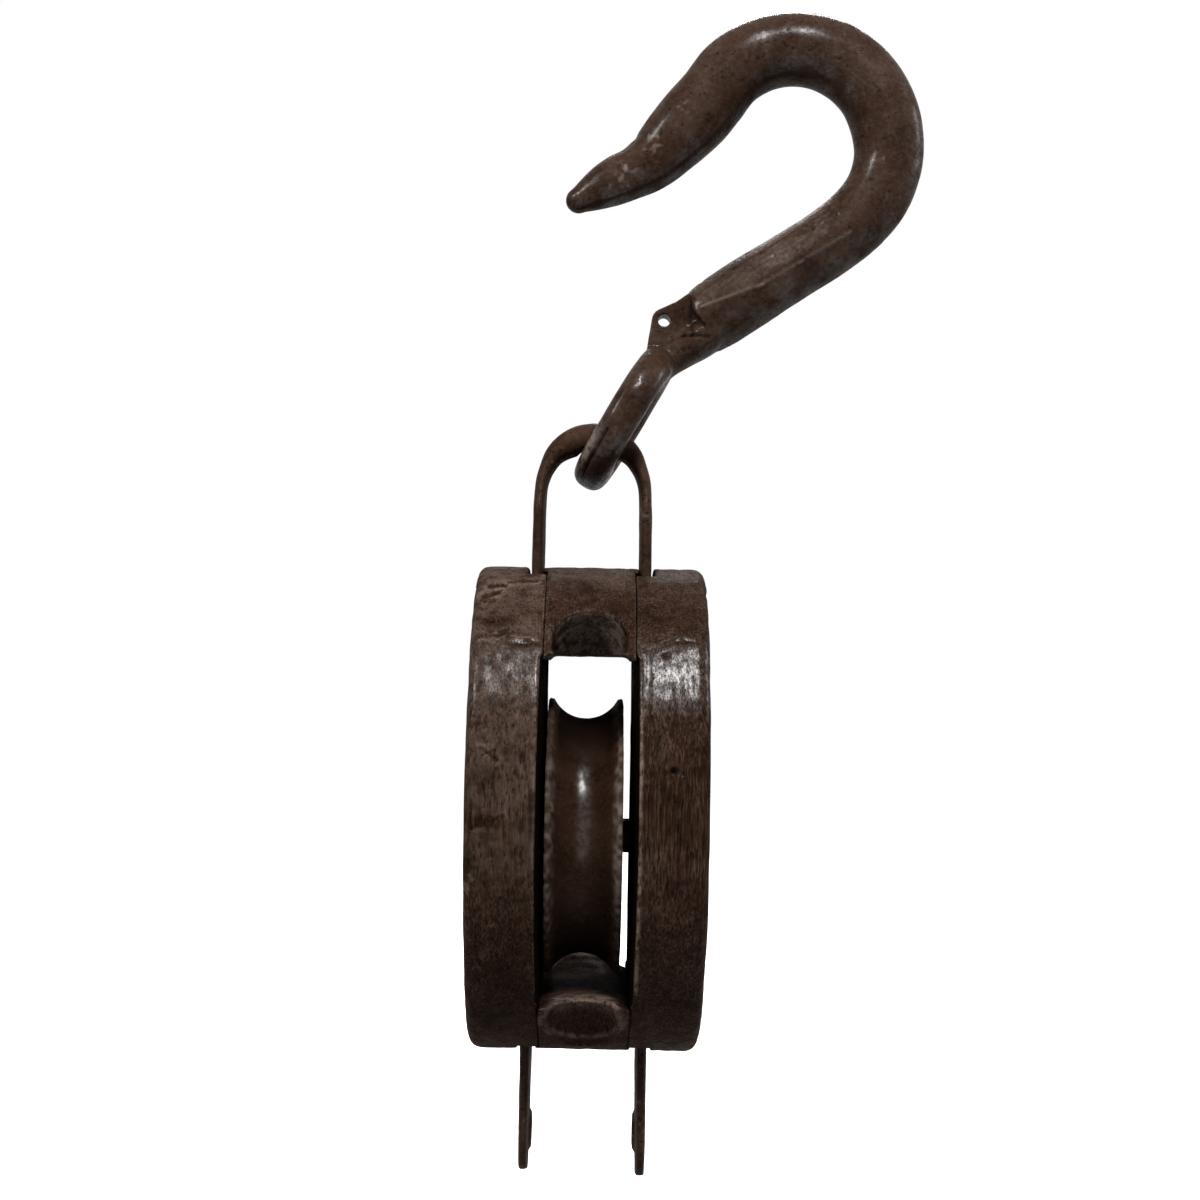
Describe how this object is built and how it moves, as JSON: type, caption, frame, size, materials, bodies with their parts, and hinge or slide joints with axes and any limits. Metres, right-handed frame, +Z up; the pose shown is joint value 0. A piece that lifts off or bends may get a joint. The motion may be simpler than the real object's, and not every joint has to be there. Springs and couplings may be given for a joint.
{
  "type": "pulley block",
  "caption": "Internally strapped wooden rope block: oval shell, grooved iron sheave, flat strap with becket ears, and a loose forged hook linked through the strap's loop.",
  "frame": {"origin": "the hook's seat: the point on the inside of the bowl that bears on whatever the block hangs from", "axes": "+X along the sheave's pin and towards the bowl's outer side, +Z up, and the front, where the hook's bill points to the left, faces -Y"},
  "size_m": [0.1427, 0.1176, 0.3706],
  "materials": {
    "shell_wood": "old dark oiled hardwood with a fine upright grain, worn to a dull shine",
    "forged_iron": "forged iron with a dark brown patina, satin and lightly pitted",
    "sheave_iron": "dark iron, worn smooth in the rope groove and on the lips",
    "bush_bronze": "dull, darkened bearing bronze"
  },
  "bodies": {
    "hook": {"hook": "forged_iron"},
    "block": {"left_cheek": "shell_wood", "right_cheek": "shell_wood", "crown_block": "shell_wood", "tail_block": "shell_wood", "strap": "forged_iron", "sheave_pin": "sheave_iron", "left_pin_plate": "forged_iron", "right_pin_plate": "forged_iron", "left_plate_nails": "forged_iron", "right_plate_nails": "forged_iron", "crown_front_rivet": "forged_iron", "crown_back_rivet": "forged_iron", "tail_front_rivet": "forged_iron", "tail_back_rivet": "forged_iron", "crown_front_rove": "forged_iron", "crown_back_rove": "forged_iron", "tail_front_rove": "forged_iron", "tail_back_rove": "forged_iron"},
    "sheave": {"sheave": "sheave_iron", "sheave_bush": "bush_bronze"}
  },
  "joints": [
    {"name": "link_swing", "type": "hinge", "parent": "hook", "child": "block", "pos_m": [-0.07146, 0, -0.12132], "axis": [0, 1, 0], "range_deg": [-45, 105]},
    {"name": "sheave_spin", "type": "hinge", "parent": "block", "child": "sheave", "pos_m": [-0.07146, 0, -0.23752], "axis": [1, 0, 0], "continuous": true}
  ]
}
